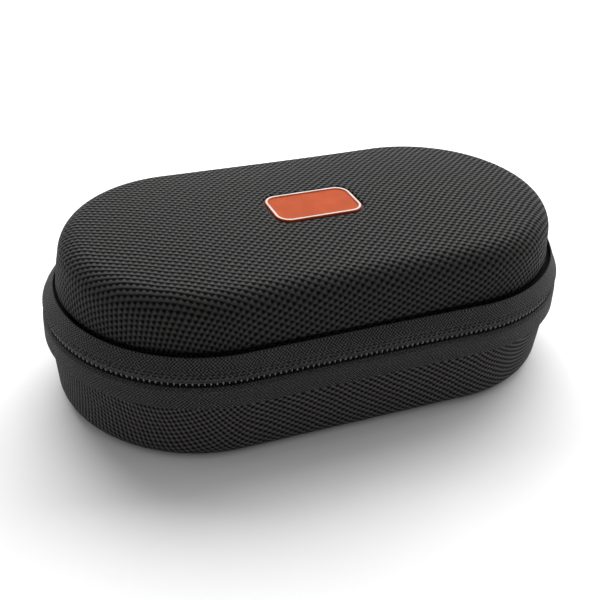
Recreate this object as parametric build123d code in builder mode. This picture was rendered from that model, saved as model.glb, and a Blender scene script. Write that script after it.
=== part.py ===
import os
from math import acos, atan2, cos, degrees, hypot, pi, radians, sin, tan

from build123d import *

os.makedirs("parts", exist_ok=True)

# A zip-up case moulded from foam sheet, round-ended in plan.
# X runs along the case, Y points to the hinge at the back, Z is up.
# The origin is on the floor, under the middle of the case.

# Outside of the case
LENGTH = 190.0
WIDTH = 106.0
BASE_HEIGHT = 33.0
LID_HEIGHT = 29.0
LID_CROWN = 1.7
LID_CORNER = 8.75
LID_DRAFT = 0.7
BASE_CORNER = 6.8
BASE_DRAFT = 1.9

# Layers of the moulded sheet, from outside in
COVER = 0.7
FOAM = 4.2
LINING = 0.6
LAYER_GAP = 0.1

# Flats in place of a rounding, on faces that nothing shows
FLAT_COUNT = 2

# Rims, where the sheet is pressed thin to leave room behind the zip
RIM_WALL = 3.2
RIM_GAP = 0.8
NECK_RECESS = 6.6
NECK_HEIGHT = 5.2
SHOULDER = 1.2
BINDING = 0.45
BINDING_DROP = 3.2
BINDING_CLEAR = 0.3
CAVITY_DRAFT = 1.0
CAVITY_CORNER = 4.5

# Zip tapes, sewn to the outside of both rims
TAPE = 0.75
TAPE_UP = 8.1
TAPE_LEAN = 4.1
TAPE_DOWN = 8.7
TAPE_STEP = 1.5
TAPE_MOUTH = 0.5
MOUTH_INSET = 0.9
MOUTH_LIP = 2.25
GROOVE = 0.95
WELT_CLEAR = 0.1
WELT_HEIGHT = 2.0

# Zip coils
TOOTH_PITCH = 1.86
TOOTH_WIDTH = 0.76
TOOTH_DEPTH = 1.1
TOOTH_REACH = 0.75
COIL_SETBACK = 1.4
END_TEETH = 8
COIL_CORD = 1.6
COIL_CORD_HEIGHT = 0.8
COIL_CORD_Z = 1.9
TOOTH_SINK = 0.5
CORD_MARGIN = 0.15
STOP_LENGTH = 2.5
STOP_HEIGHT = 4.4
STOP_GAP = 0.5

# Hinge
HINGE_MARGIN = 4.0
LINER_HEIGHT = 6.0
JOIN_GAP = 0.3

# Angles along the right-hand end, counted from straight back
SLIDER_ANGLE = 30.0
COIL_START = 21.5
LEFT_COIL_START = 24.0

# Slider
SLIDER_LENGTH = 11.0
SLIDER_WIDTH = 9.6
SLIDER_TAIL = 7.6
SLIDER_SHOULDER = 4.5
SLIDER_CLEAR = 0.35
PLATE = 1.0
BACK_PLATE = 1.1
BACK_PLATE_CLEAR = 0.6
FLANGE = 0.9
FLANGE_RISE = 0.4
CROWN_LENGTH = 8.8
CROWN_WIDTH = 2.6
CROWN_POST = 1.2
BAR_RADIUS = 0.9
BAR_HEIGHT = 2.55
CROWN_CAP = 0.4

# Pull
EYE_CLEAR = 0.25
EYE_WALL = 1.05
EYE_WIDTH = 3.2
PULL_LENGTH = 27.0
PULL_WIDTH = 6.6
PULL_THICKNESS = 1.6
PULL_SLOT = 3.0
PULL_SLOT_LENGTH = 9.0
PULL_END = 2.6

# Badge and its moulded recess
BADGE_LENGTH = 32.0
BADGE_WIDTH = 19.0
BADGE_CORNER = 5.0
BADGE_THICKNESS = 1.3
BADGE_RIM = 1.3
BADGE_RIM_RISE = 0.35
BADGE_GAP = 0.8
RECESS_DEPTH = 1.2
SEAT = 0.05

# Foam insert and its pockets
TRAY_CLEAR = 0.3
TRAY_BELOW_RIM = 2.6
TRAY_EDGE = 3.5
POCKET_DEPTH = 19.0
HEAD_RADIUS = 23.0
HEAD_X = 50.0
DEVICE_Y = 14.0
HANDLE_RADIUS = 10.5
HANDLE_END_X = -68.0
FINGER_RADIUS = 15.0
FINGER_X = -12.0
PLATE_POCKET_RADIUS = 15.5
PLATE_POCKET_X = -42.0
PLATE_POCKET_Y = -22.0
PLATE_POCKET_DEPTH = 12.0
BOX_POCKET_LENGTH = 50.0
BOX_POCKET_WIDTH = 21.0
BOX_POCKET_X = 10.0
BOX_POCKET_Y = -25.0
BOX_POCKET_DEPTH = 16.0
BOX_POCKET_CORNER = 4.0
PAD_THICKNESS = 6.0
PAD_CLEAR = 1.5
PAD_EDGE = 2.0

# Levels and distances that follow. A distance is counted from the line between the centres of the two ends.
half_width = WIDTH / 2
straight = (LENGTH - WIDTH) / 2
zip_z = BASE_HEIGHT
wall = COVER + FOAM + LINING + 2 * LAYER_GAP
base_side = half_width - TAPE_STEP
lid_side = half_width - TAPE_LEAN - GROOVE
neck = half_width - NECK_RECESS
rim_inside = neck - RIM_WALL
base_rim_z = zip_z - RIM_GAP / 2 - BINDING - LAYER_GAP
lid_rim_z = zip_z + RIM_GAP / 2 + BINDING + LAYER_GAP
lid_top_z = zip_z + LID_HEIGHT
hinge_length = 2 * (straight - HINGE_MARGIN)
coil_outside = half_width - COIL_SETBACK
coil_inside = coil_outside - COIL_CORD
coil_middle = coil_inside + CORD_MARGIN + TOOTH_DEPTH / 2
join_angle = degrees(JOIN_GAP / half_width)
tape_end = COIL_START + degrees((END_TEETH + 0.5) * TOOTH_PITCH / coil_middle)
tape_start = tape_end + join_angle


# Sections are drawn with the distance from the centre line across, and the height up.
def section(points):
    """A closed section through the points."""
    with BuildSketch(mode=Mode.PRIVATE) as drawn:
        with BuildLine():
            Polyline(*points, close=True)
        make_face()
    return drawn.sketch


def arc_or_flats(centre, radius, start, stop, flats):
    """An arc between two angles as one edge, or as a row of short flats. Returns its last point."""
    count = flats or 2
    angles = [start + (stop - start) * n / count for n in range(count + 1)]
    points = [(centre[0] + radius * cos(angle), centre[1] + radius * sin(angle)) for angle in angles]
    if flats:
        Polyline(*points)
    else:
        ThreePointArc(*points)
    return points[0], points[-1]


def half_solid(height, side, draft, corner, crown, depth, flats=0):
    """One half of the case as if solid, depth inside its outer face, its rim down and its top up.

    Faces that nothing shows have flats in place of their roundings.
    """
    centre = (side - draft - corner, height - crown - corner)
    ledge = NECK_HEIGHT + SHOULDER
    across, down = side - centre[0], ledge - centre[1]
    tilt = atan2(down, across) + acos(corner / hypot(across, down))
    rim = RIM_GAP / 2 + BINDING + LAYER_GAP
    with BuildSketch(mode=Mode.PRIVATE) as drawn:
        with BuildLine():
            if crown:
                sphere = (centre[0] ** 2 + (crown + corner) ** 2 - corner**2) / (2 * crown)
                turn = atan2(centre[1] - height + sphere, centre[0])
                flat_count = flats and flats - 1
                top = arc_or_flats((0, height - sphere), sphere - depth, pi / 2, turn, flat_count)[0]
            else:
                turn = pi / 2
                top = (0, height - depth)
                Line(top, (centre[0], height - depth))
            foot = arc_or_flats(centre, corner - depth, turn, tilt, flats)[1]
            side_foot = (foot[0] + (foot[1] - ledge - depth) * tan(tilt), ledge + depth)
            neck_top = (neck - depth, NECK_HEIGHT + depth)
            Polyline(foot, side_foot, neck_top, (neck - depth, rim), (0, rim), top)
        make_face()
    return drawn.sketch


def half_cavity(height, depth, flats=0):
    """The hollow of one half, depth outside the face of its lining, its rim down and its ceiling up."""
    rim = RIM_GAP / 2 + BINDING + LAYER_GAP
    ceiling = height - wall + depth
    side = rim_inside - CAVITY_DRAFT
    centre = (side - CAVITY_CORNER, ceiling - depth - CAVITY_CORNER)
    with BuildSketch(mode=Mode.PRIVATE) as drawn:
        with BuildLine():
            Line((0, ceiling), (centre[0], ceiling))
            foot = arc_or_flats(centre, CAVITY_CORNER + depth, pi / 2, 0, flats)[1]
            Polyline(foot, (rim_inside + depth, rim), (0, rim), (0, ceiling))
        make_face()
    return drawn.sketch


def lid_place(shape):
    """A half's section set over the zip line."""
    return Location((0, zip_z, 0)) * shape


def base_place(shape):
    """A half's section turned over and set under the zip line."""
    return lid_place(mirror(shape, about=Plane.XZ, mode=Mode.PRIVATE))


def base_solid(depth, flats=0):
    return base_place(half_solid(BASE_HEIGHT, base_side, BASE_DRAFT, BASE_CORNER, 0, depth, flats))


def base_cavity(depth, flats=0):
    return base_place(half_cavity(BASE_HEIGHT, depth, flats))


def lid_solid(depth, flats=0):
    return lid_place(half_solid(LID_HEIGHT, lid_side, LID_DRAFT, LID_CORNER, LID_CROWN, depth, flats))


def lid_cavity(depth, flats=0):
    return lid_place(half_cavity(LID_HEIGHT - LID_CROWN, depth, flats))


def between(outer, inner):
    """What is left of one section when another is taken out of it."""
    with BuildSketch(mode=Mode.PRIVATE) as drawn:
        add(outer)
        add(inner, mode=Mode.SUBTRACT)
    return drawn.sketch


def end_plane(side, angle):
    """The upright plane through the centre of one end, turned from straight back."""
    out = Vector(side * sin(radians(angle)), cos(radians(angle)), 0)
    return Plane(origin=(side * straight, 0, 0), x_dir=out, z_dir=out.cross(Vector(0, 0, 1)))


def turn_end(shape, side, start=0.0, stop=180.0):
    """The section turned round one end of the case, between two angles."""
    with BuildSketch(end_plane(side, start)) as placed:
        add(shape)
    revolve(placed.sketch, axis=Axis((side * straight, 0, 0), (0, 0, -side)), revolution_arc=stop - start)


def run_front(shape):
    """The section run along the front of the case."""
    with BuildSketch(Plane(origin=(-straight, 0, 0), x_dir=(0, -1, 0), z_dir=(-1, 0, 0))) as placed:
        add(shape)
    extrude(placed.sketch, amount=-2 * straight)


def run_back(shape, x_from, x_to):
    """The section run along the back of the case, between two places."""
    with BuildSketch(Plane(origin=(x_from, 0, 0), x_dir=(0, 1, 0), z_dir=(1, 0, 0))) as placed:
        add(shape)
    extrude(placed.sketch, amount=x_to - x_from)


def carry_round(shape):
    """The section carried all round the case."""
    run_back(shape, -straight, straight)
    run_front(shape)
    turn_end(shape, 1)
    turn_end(shape, -1)


def band(points):
    """A tape's section: its outer line, and the same line one tape thickness further in."""
    return section([*points, *[(r - TAPE, z) for r, z in reversed(points)]])


def write(part, name):
    part.label = name
    export_step(part, f"parts/{name}.step")


# Moulded base: fabric skin, foam and lining
with BuildPart() as base_cover:
    carry_round(between(base_solid(0), base_solid(COVER, FLAT_COUNT)))
write(base_cover.part, "base_cover")

with BuildPart() as base_shell:
    carry_round(
        between(base_solid(COVER + LAYER_GAP, FLAT_COUNT), base_cavity(LINING + LAYER_GAP, FLAT_COUNT))
    )
write(base_shell.part, "base_shell")

with BuildPart() as base_lining:
    carry_round(between(base_cavity(LINING, FLAT_COUNT), base_cavity(0, FLAT_COUNT)))
write(base_lining.part, "base_lining")


# Bindings folded over both rims
def binding_section(rim_z, up):
    """A folded strip, open towards the sheet that it closes off."""
    inside, outside = rim_inside - BINDING_CLEAR, neck + LAYER_GAP
    leg = rim_z - up * BINDING_DROP
    top, under = rim_z + up * (LAYER_GAP + BINDING), rim_z + up * LAYER_GAP
    return section(
        [
            (inside - BINDING, leg),
            (inside - BINDING, top),
            (outside + BINDING, top),
            (outside + BINDING, leg),
            (outside, leg),
            (outside, under),
            (inside, under),
            (inside, leg),
        ]
    )


with BuildPart() as base_binding:
    carry_round(binding_section(base_rim_z, 1))
write(base_binding.part, "base_binding")

with BuildPart() as lid_binding:
    carry_round(binding_section(lid_rim_z, -1))
write(lid_binding.part, "lid_binding")

# Moulded lid with the badge's recess pressed into its top
recess_z = lid_top_z - RECESS_DEPTH
recess_length = BADGE_LENGTH + 2 * BADGE_GAP
recess_width = BADGE_WIDTH + 2 * BADGE_GAP
recess_corner = BADGE_CORNER + BADGE_GAP


def recess_outline(margin, height):
    """The recess's outline at a height, widened by the margin."""
    with BuildSketch(Plane.XY.offset(height), mode=Mode.PRIVATE) as drawn:
        RectangleRounded(recess_length + 2 * margin, recess_width + 2 * margin, recess_corner + margin)
    return drawn.sketch


with BuildPart() as lid_cover:
    carry_round(between(lid_solid(0), lid_solid(COVER, FLAT_COUNT)))
    extrude(recess_outline(COVER, recess_z - COVER), amount=RECESS_DEPTH)
    extrude(recess_outline(0, recess_z), amount=2 * RECESS_DEPTH, mode=Mode.SUBTRACT)
write(lid_cover.part, "lid_cover")

shell_margin = COVER + LAYER_GAP
with BuildPart() as lid_shell:
    carry_round(
        between(lid_solid(COVER + LAYER_GAP, FLAT_COUNT), lid_cavity(LINING + LAYER_GAP, FLAT_COUNT))
    )
    recess_cut = recess_outline(shell_margin, recess_z - shell_margin)
    extrude(recess_cut, amount=2 * RECESS_DEPTH, mode=Mode.SUBTRACT)
write(lid_shell.part, "lid_shell")

with BuildPart() as lid_lining:
    carry_round(between(lid_cavity(LINING, FLAT_COUNT), lid_cavity(0, FLAT_COUNT)))
write(lid_lining.part, "lid_lining")

# Badge: a soft plate with a raised rim, seated in the recess
with BuildPart() as badge:
    with BuildSketch(Plane.XY.offset(recess_z + SEAT)):
        RectangleRounded(BADGE_LENGTH, BADGE_WIDTH, BADGE_CORNER)
    extrude(amount=BADGE_THICKNESS)
    with BuildSketch(Plane.XY.offset(recess_z + SEAT + BADGE_THICKNESS - BADGE_RIM_RISE)):
        RectangleRounded(BADGE_LENGTH - 2 * BADGE_RIM, BADGE_WIDTH - 2 * BADGE_RIM, BADGE_CORNER - BADGE_RIM)
    extrude(amount=BADGE_RIM_RISE, mode=Mode.SUBTRACT)
write(badge.part, "badge")

# Pad glued under the lid's ceiling
pad_z = lid_top_z - LID_CROWN - wall - SEAT
pad_radius = rim_inside - CAVITY_DRAFT - CAVITY_CORNER - PAD_CLEAR
with BuildPart() as lid_pad:
    with BuildSketch(Plane.XY.offset(pad_z - PAD_THICKNESS)):
        SlotCenterToCenter(2 * straight, 2 * pad_radius)
    extrude(amount=PAD_THICKNESS)
    chamfer(lid_pad.faces().sort_by(Axis.Z)[0].edges(), PAD_EDGE)
write(lid_pad.part, "lid_pad")

# Foam insert: hollows for the instrument, its handle, fingers, a contact plate and a small box
tray_top = base_rim_z - TRAY_BELOW_RIM
tray_floor = wall + SEAT
tray_top_distance = rim_inside - BINDING_CLEAR - BINDING - TRAY_CLEAR
with BuildPart() as foam_tray:
    carry_round(
        section(
            [
                (0, tray_floor),
                (tray_top_distance - CAVITY_DRAFT - TRAY_EDGE, tray_floor),
                (tray_top_distance - CAVITY_DRAFT, tray_floor + TRAY_EDGE),
                (tray_top_distance, tray_top),
                (0, tray_top),
            ]
        )
    )
    with BuildSketch(Plane.XY.offset(tray_top)):
        with Locations((HEAD_X, DEVICE_Y)):
            Circle(HEAD_RADIUS)
        with Locations(((HEAD_X + HANDLE_END_X) / 2, DEVICE_Y)):
            SlotCenterToCenter(HEAD_X - HANDLE_END_X, 2 * HANDLE_RADIUS)
        with Locations((FINGER_X, DEVICE_Y)):
            Circle(FINGER_RADIUS)
    extrude(amount=-POCKET_DEPTH, mode=Mode.SUBTRACT)
    with BuildSketch(Plane.XY.offset(tray_top)):
        with Locations((PLATE_POCKET_X, PLATE_POCKET_Y)):
            Circle(PLATE_POCKET_RADIUS)
    extrude(amount=-PLATE_POCKET_DEPTH, mode=Mode.SUBTRACT)
    with BuildSketch(Plane.XY.offset(tray_top)):
        with Locations((BOX_POCKET_X, BOX_POCKET_Y)):
            RectangleRounded(BOX_POCKET_LENGTH, BOX_POCKET_WIDTH, BOX_POCKET_CORNER)
    extrude(amount=-BOX_POCKET_DEPTH, mode=Mode.SUBTRACT)
write(foam_tray.part, "foam_tray")

# Zip tapes
mouth = half_width - MOUTH_INSET
upper_line = [
    (mouth, zip_z + TAPE_MOUTH / 2),
    (half_width, zip_z + MOUTH_LIP),
    (half_width - TAPE_LEAN, zip_z + TAPE_UP),
]
lower_line = [
    (mouth, zip_z - TAPE_MOUTH / 2),
    (half_width, zip_z - MOUTH_LIP),
    (half_width, zip_z - TAPE_DOWN),
]
upper_band = band(upper_line)
lower_band = band(lower_line)
tape_end_x = hinge_length / 2 + JOIN_GAP

with BuildPart() as upper_zip_tape:
    turn_end(upper_band, 1, tape_start)
    run_front(upper_band)
    turn_end(upper_band, -1)
    run_back(upper_band, -straight, -tape_end_x)
write(upper_zip_tape.part, "upper_zip_tape")

with BuildPart() as upper_tape_end:
    run_back(upper_band, tape_end_x, straight)
    turn_end(upper_band, 1, 0, tape_end)
write(upper_tape_end.part, "upper_tape_end")

with BuildPart() as lower_zip_tape:
    run_back(lower_band, tape_end_x, straight)
    turn_end(lower_band, 1)
    run_front(lower_band)
    turn_end(lower_band, -1)
    run_back(lower_band, -straight, -tape_end_x)
write(lower_zip_tape.part, "lower_zip_tape")


# Welts that fill the seams between the tapes and the walls
def upper_line_at(height):
    """Distance of the upper tape's inner face at a height over the zip line."""
    slope = TAPE_LEAN / (TAPE_UP - MOUTH_LIP)
    return half_width - TAPE - slope * (height - MOUTH_LIP)


welt_foot = NECK_HEIGHT + SHOULDER / 2
welt_top = TAPE_UP - WELT_CLEAR
shoulder_mid = (neck + lid_side) / 2
upper_welt = section(
    [
        (shoulder_mid + WELT_CLEAR, zip_z + welt_foot),
        (upper_line_at(welt_foot) - WELT_CLEAR, zip_z + welt_foot),
        (lid_side + 2 * WELT_CLEAR, zip_z + welt_top - 2 * WELT_CLEAR),
        (lid_side + WELT_CLEAR, zip_z + NECK_HEIGHT + SHOULDER),
    ]
)
welt_bottom = zip_z - TAPE_DOWN + WELT_CLEAR
lower_welt = section(
    [
        (base_side + WELT_CLEAR, welt_bottom),
        (half_width - TAPE - WELT_CLEAR, welt_bottom),
        (half_width - TAPE - WELT_CLEAR, welt_bottom + WELT_HEIGHT),
        (base_side + WELT_CLEAR, welt_bottom + WELT_HEIGHT),
    ]
)

with BuildPart() as lid_welt:
    turn_end(upper_welt, 1, tape_start)
    run_front(upper_welt)
    turn_end(upper_welt, -1)
    run_back(upper_welt, -straight, -tape_end_x)
write(lid_welt.part, "lid_welt")

with BuildPart() as base_welt:
    carry_round(lower_welt)
write(base_welt.part, "base_welt")


# Zip coils: a cord with a row of teeth, those of one side standing between those of the other
def coil_length(first, last):
    """Length of the coil's path from one angle at the right end to one at the left."""
    return coil_middle * radians(360 - first - last) + 2 * straight


def coil_place(distance, first, height):
    """The place of a tooth, so far along the coil's path."""
    right = coil_middle * radians(180 - first)
    front = right + 2 * straight
    if distance < right:
        angle, centre_x = first + degrees(distance / coil_middle), straight
    elif distance < front:
        angle, centre_x = 180.0, straight - (distance - right)
    else:
        angle, centre_x = 180 + degrees((distance - front) / coil_middle), -straight
    x = centre_x + coil_middle * sin(radians(angle))
    return Location((x, coil_middle * cos(radians(angle)), height), (0, 0, -angle))


def cord_section(up):
    near = zip_z + up * COIL_CORD_Z
    far = near + up * COIL_CORD_HEIGHT
    return section([(coil_inside, near), (coil_outside, near), (coil_outside, far), (coil_inside, far)])


tooth_height = COIL_CORD_Z + TOOTH_REACH + TOOTH_SINK
tooth_centre = (COIL_CORD_Z - TOOTH_REACH + TOOTH_SINK) / 2
tooth_count = int(coil_length(COIL_START, LEFT_COIL_START) / TOOTH_PITCH)


def teeth(first, last, up, phase):
    """Teeth by number along the path, all on the cord of one side."""
    places = [
        coil_place((n + phase) * TOOTH_PITCH, COIL_START, zip_z + up * tooth_centre)
        for n in range(first, last)
    ]
    with Locations(*places):
        Box(TOOTH_WIDTH, TOOTH_DEPTH, tooth_height)


with BuildPart() as lower_zip_coil:
    turn_end(cord_section(-1), 1, COIL_START)
    run_front(cord_section(-1))
    turn_end(cord_section(-1), -1, LEFT_COIL_START)
    teeth(0, tooth_count, -1, 0.5)
write(lower_zip_coil.part, "lower_zip_coil")

with BuildPart() as upper_zip_coil:
    turn_end(cord_section(1), 1, tape_start)
    run_front(cord_section(1))
    turn_end(cord_section(1), -1, LEFT_COIL_START)
    teeth(END_TEETH, tooth_count, 1, 1.0)
write(upper_zip_coil.part, "upper_zip_coil")

with BuildPart() as upper_coil_end:
    turn_end(cord_section(1), 1, COIL_START, tape_end)
    teeth(0, END_TEETH, 1, 1.0)
write(upper_coil_end.part, "upper_coil_end")


# Stops at both ends of the coils
def stop(side, coil_start):
    """A clamp across both tapes, just short of the coils."""
    angle = coil_start - degrees((STOP_GAP + STOP_LENGTH / 2) / coil_middle)
    with BuildSketch(end_plane(side, angle)) as placed:
        with Locations((coil_middle, zip_z)):
            Rectangle(TOOTH_DEPTH, STOP_HEIGHT)
    extrude(placed.sketch, amount=STOP_LENGTH / 2, both=True)


with BuildPart() as top_stop:
    stop(1, COIL_START)
write(top_stop.part, "top_stop")

with BuildPart() as bottom_stop:
    stop(-1, LEFT_COIL_START)
write(bottom_stop.part, "bottom_stop")

# Fabric hinge: a strip over the outside and a liner over the inside of both rims
with BuildPart() as hinge_strip:
    run_back(band([lower_line[2], (half_width, zip_z), *upper_line[1:]]), -hinge_length / 2, hinge_length / 2)
write(hinge_strip.part, "hinge_strip")

liner_out = rim_inside - BINDING_CLEAR - BINDING - LAYER_GAP
with BuildPart() as hinge_liner:
    run_back(
        section(
            [
                (liner_out - LINING, zip_z - LINER_HEIGHT / 2),
                (liner_out, zip_z - LINER_HEIGHT / 2),
                (liner_out, zip_z + LINER_HEIGHT / 2),
                (liner_out - LINING, zip_z + LINER_HEIGHT / 2),
            ]
        ),
        -hinge_length / 2,
        hinge_length / 2,
    )
write(hinge_liner.part, "hinge_liner")

# Slider: a face plate with a bridge for the pull, and a back plate behind the coils
slider_out = Vector(sin(radians(SLIDER_ANGLE)), cos(radians(SLIDER_ANGLE)), 0)
slider_along = Vector(-cos(radians(SLIDER_ANGLE)), sin(radians(SLIDER_ANGLE)), 0)
slider_centre = Vector(straight, 0, zip_z)


def slider_face(distance):
    """A plane facing out of the case at a distance from the centre of its end."""
    return Plane(origin=slider_centre + slider_out * distance, x_dir=slider_along, z_dir=slider_out)


def slider_outline():
    """Broad at the end that leads when the zip closes, narrow at the other."""
    half, tail = SLIDER_LENGTH / 2, SLIDER_TAIL / 2
    with BuildSketch(mode=Mode.PRIVATE) as drawn:
        with BuildLine():
            Polyline(
                (half, SLIDER_WIDTH / 2),
                (SLIDER_SHOULDER - half, SLIDER_WIDTH / 2),
                (-half, tail),
                (-half, -tail),
                (SLIDER_SHOULDER - half, -SLIDER_WIDTH / 2),
                (half, -SLIDER_WIDTH / 2),
                close=True,
            )
        make_face()
        fillet(drawn.vertices(), FLANGE)
    return drawn.sketch


plate_in = half_width + SLIDER_CLEAR
plate_out = plate_in + PLATE
bar_distance = plate_out + BAR_HEIGHT
with BuildPart() as zip_slider:
    with BuildSketch(slider_face(plate_in)):
        add(slider_outline())
    extrude(amount=PLATE)
    chamfer(zip_slider.faces().sort_by(Axis(slider_centre, slider_out))[-1].edges(), PLATE / 3)
    post_x = (CROWN_LENGTH - CROWN_POST) / 2
    with BuildSketch(slider_face(plate_out - PLATE / 2)):
        with Locations((-post_x, 0), (post_x, 0)):
            RectangleRounded(CROWN_POST, CROWN_WIDTH, CROWN_POST / 3)
    extrude(amount=PLATE / 2 + BAR_HEIGHT + BAR_RADIUS + CROWN_CAP)
    bar_plane = Plane(
        origin=slider_centre + slider_out * bar_distance, x_dir=slider_out, z_dir=slider_along
    )
    with BuildSketch(bar_plane.offset(-post_x)):
        Circle(BAR_RADIUS)
    extrude(amount=2 * post_x)
write(zip_slider.part, "zip_slider")

back_out = coil_inside - BACK_PLATE_CLEAR
with BuildPart() as slider_back_plate:
    with BuildSketch(slider_face(back_out - BACK_PLATE)):
        add(slider_outline())
    extrude(amount=BACK_PLATE + FLANGE_RISE)
    with BuildSketch(slider_face(back_out)):
        Rectangle(2 * SLIDER_LENGTH, SLIDER_TAIL - FLANGE / 2)
    extrude(amount=2 * FLANGE_RISE, mode=Mode.SUBTRACT)
write(slider_back_plate.part, "slider_back_plate")

# Pull: an eye round the slider's bar and a flat tab hanging from it
eye_in = BAR_RADIUS + EYE_CLEAR
eye_out = eye_in + EYE_WALL
pull_face = slider_face(bar_distance)
with BuildPart() as zip_pull:
    with BuildSketch(bar_plane.offset(-EYE_WIDTH / 2)):
        Circle(eye_out)
    extrude(amount=EYE_WIDTH)
    with BuildSketch(pull_face.offset(-PULL_THICKNESS / 2)):
        with BuildLine():
            Polyline(
                (-EYE_WIDTH / 2, -eye_in),
                (EYE_WIDTH / 2, -eye_in),
                (PULL_WIDTH / 2, -2 * eye_out - PULL_WIDTH / 2),
                (PULL_WIDTH / 2, -PULL_LENGTH),
                (-PULL_WIDTH / 2, -PULL_LENGTH),
                (-PULL_WIDTH / 2, -2 * eye_out - PULL_WIDTH / 2),
                close=True,
            )
        make_face()
    extrude(amount=PULL_THICKNESS)
    fillet(zip_pull.edges().filter_by(Axis((0, 0, 0), slider_out)).sort_by(Axis.Z)[:2], PULL_END)
    with BuildSketch(pull_face.offset(-PULL_THICKNESS)):
        with Locations((0, -PULL_LENGTH + PULL_END + PULL_SLOT_LENGTH / 2)):
            SlotOverall(PULL_SLOT_LENGTH, PULL_SLOT, rotation=90)
    extrude(amount=2 * PULL_THICKNESS, mode=Mode.SUBTRACT)
    with BuildSketch(bar_plane.offset(-EYE_WIDTH)):
        Circle(eye_in)
    extrude(amount=2 * EYE_WIDTH, mode=Mode.SUBTRACT)
write(zip_pull.part, "zip_pull")
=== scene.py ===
from math import acos, atan2, cos, degrees, hypot, pi, radians, sin, tan

import bmesh
import bpy
import numpy as np
from mathutils import Matrix, Vector


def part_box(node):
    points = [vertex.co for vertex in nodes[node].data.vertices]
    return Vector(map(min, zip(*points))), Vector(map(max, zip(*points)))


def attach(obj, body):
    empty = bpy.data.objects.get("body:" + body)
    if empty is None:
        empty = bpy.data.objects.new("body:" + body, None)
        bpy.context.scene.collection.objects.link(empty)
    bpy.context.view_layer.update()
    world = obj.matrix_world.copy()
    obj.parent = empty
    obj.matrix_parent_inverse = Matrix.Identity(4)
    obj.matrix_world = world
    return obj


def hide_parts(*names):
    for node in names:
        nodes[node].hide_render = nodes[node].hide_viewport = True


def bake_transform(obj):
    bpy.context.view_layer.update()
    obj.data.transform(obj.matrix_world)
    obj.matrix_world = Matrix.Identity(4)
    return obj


# Lengths are millimetres in the case's own frame and become metres where a mesh is made.
# X runs along the case, Y points to the hinge, Z is up. "r" is the distance from the centre line,
# which lies along X between the centres of the two round ends.
MM = 0.001
CLOTH_UNIT = 100.0  # millimetres of fabric in one unit of the fabric coordinates
SAME_PLACE = 1e-7  # metres; points nearer than this are one point

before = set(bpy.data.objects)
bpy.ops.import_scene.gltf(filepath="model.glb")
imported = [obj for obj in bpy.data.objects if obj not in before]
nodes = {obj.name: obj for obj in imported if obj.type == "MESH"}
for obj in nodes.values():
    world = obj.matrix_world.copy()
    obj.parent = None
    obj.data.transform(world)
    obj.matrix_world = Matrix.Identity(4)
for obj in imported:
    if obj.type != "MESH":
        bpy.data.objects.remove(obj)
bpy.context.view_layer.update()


def box(node):
    """Lowest and highest corner of a CAD node, in millimetres."""
    low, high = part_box(node)
    return np.array(low) / MM, np.array(high) / MM


# Sizes read from the frame
lower_high = box("lower_zip_tape")[1]
upper_low, upper_high = box("upper_zip_tape")
lid_high = box("lid_cover")[1]
half_width = lower_high[1]
straight = round(upper_high[0], 2) - half_width
zip_z = (lower_high[2] + upper_low[2]) / 2
lid_height = lid_high[2] - zip_z
lid_side = lid_high[1]
base_side = box("base_cover")[1][1]
hinge_half = box("hinge_strip")[1][0]

# Moulded halves, as in the solids; heights are counted away from the zip line
COVER = 0.7
WALL = 5.8
LINING = 0.6
LAYER_GAP = 0.1
LID_CROWN = 1.7
LID_CORNER = 8.75
LID_DRAFT = 0.7
BASE_CORNER = 6.8
BASE_DRAFT = 1.9
CAVITY_DRAFT = 1.0
CAVITY_CORNER = 4.5
NECK = half_width - 6.6
NECK_HEIGHT = 5.2
LID_NECK_HEIGHT = 7.9  # in the scene the lid narrows higher up than its solid, behind the tape
NECK_ROUND = 0.9
SHOULDER = 1.2
RIM = 0.95
RIM_INSIDE = NECK - 3.2
BINDING = 0.45
BINDING_LEG = 3.2
BINDING_GAP = 0.3
BINDING_ROUND = 0.5

# Zip: the teeth stand on a line this far from the centre line, and are counted from the right
MIDDLE = 50.7
TOOTH_PITCH = 1.86
COIL_START = 21.5  # degrees from straight back, round the right-hand end
LEFT_COIL_START = 24.0
END_TEETH = 8
JOIN_GAP = 0.3
TAPE = 0.75
TAPE_ROUND = 1.6
TAPE_LEAN = 4.1
TAPE_OFF = 0.9
TAPE_RISE = 0.4
TAPE_UP = 8.1
TAPE_DOWN = 8.7
EDGE_TAPER = 3.0
UPPER_GAP = 0.5
LOWER_GAP = 1.1
MOUTH_INSET = 0.9
MOUTH_LIP = 2.25
FOLD = 3.5  # half of the height over which the fabric hinge bends
LINER_FOLD = 2.2

# Badge and its recess in the lid
BADGE_CORNER = 5.0
BADGE_FACE = 0.35
BADGE_GAP = 0.8
BADGE_COLUMNS = 160
RECESS_CORNER = BADGE_CORNER + BADGE_GAP
RECESS_BELOW = 0.05
RECESS_LIP = 0.9

# How finely the meshes are divided, and how much of a side a rounded corner may take
CORNER_SHARE = 0.45
TOP_POINTS = 24
BEND_POINTS = 14
CAVITY_POINTS = 8
WALL_STEP = 1.0
LID_COLUMNS = 760
BASE_COLUMNS = 720
TOP_RINGS = 30
LAYER_COLUMNS = 360
BINDING_COLUMNS = 480
TAPE_STEP = 0.3
STEPS_A_TOOTH = 6
HINGE_STEP = 0.4
HINGE_COLUMN = 0.5
WELT_COLUMN = 1.5

# Camera, solved from the photograph: degrees, then distances from the middle of the zip line
AZIMUTH = -24.03
ELEVATION = 32.23
ROLL = 2.79
DISTANCE = 383.4
ASIDE = -3.40
ABOVE = -8.99
LENS = 63.69
SENSOR = 36


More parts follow.
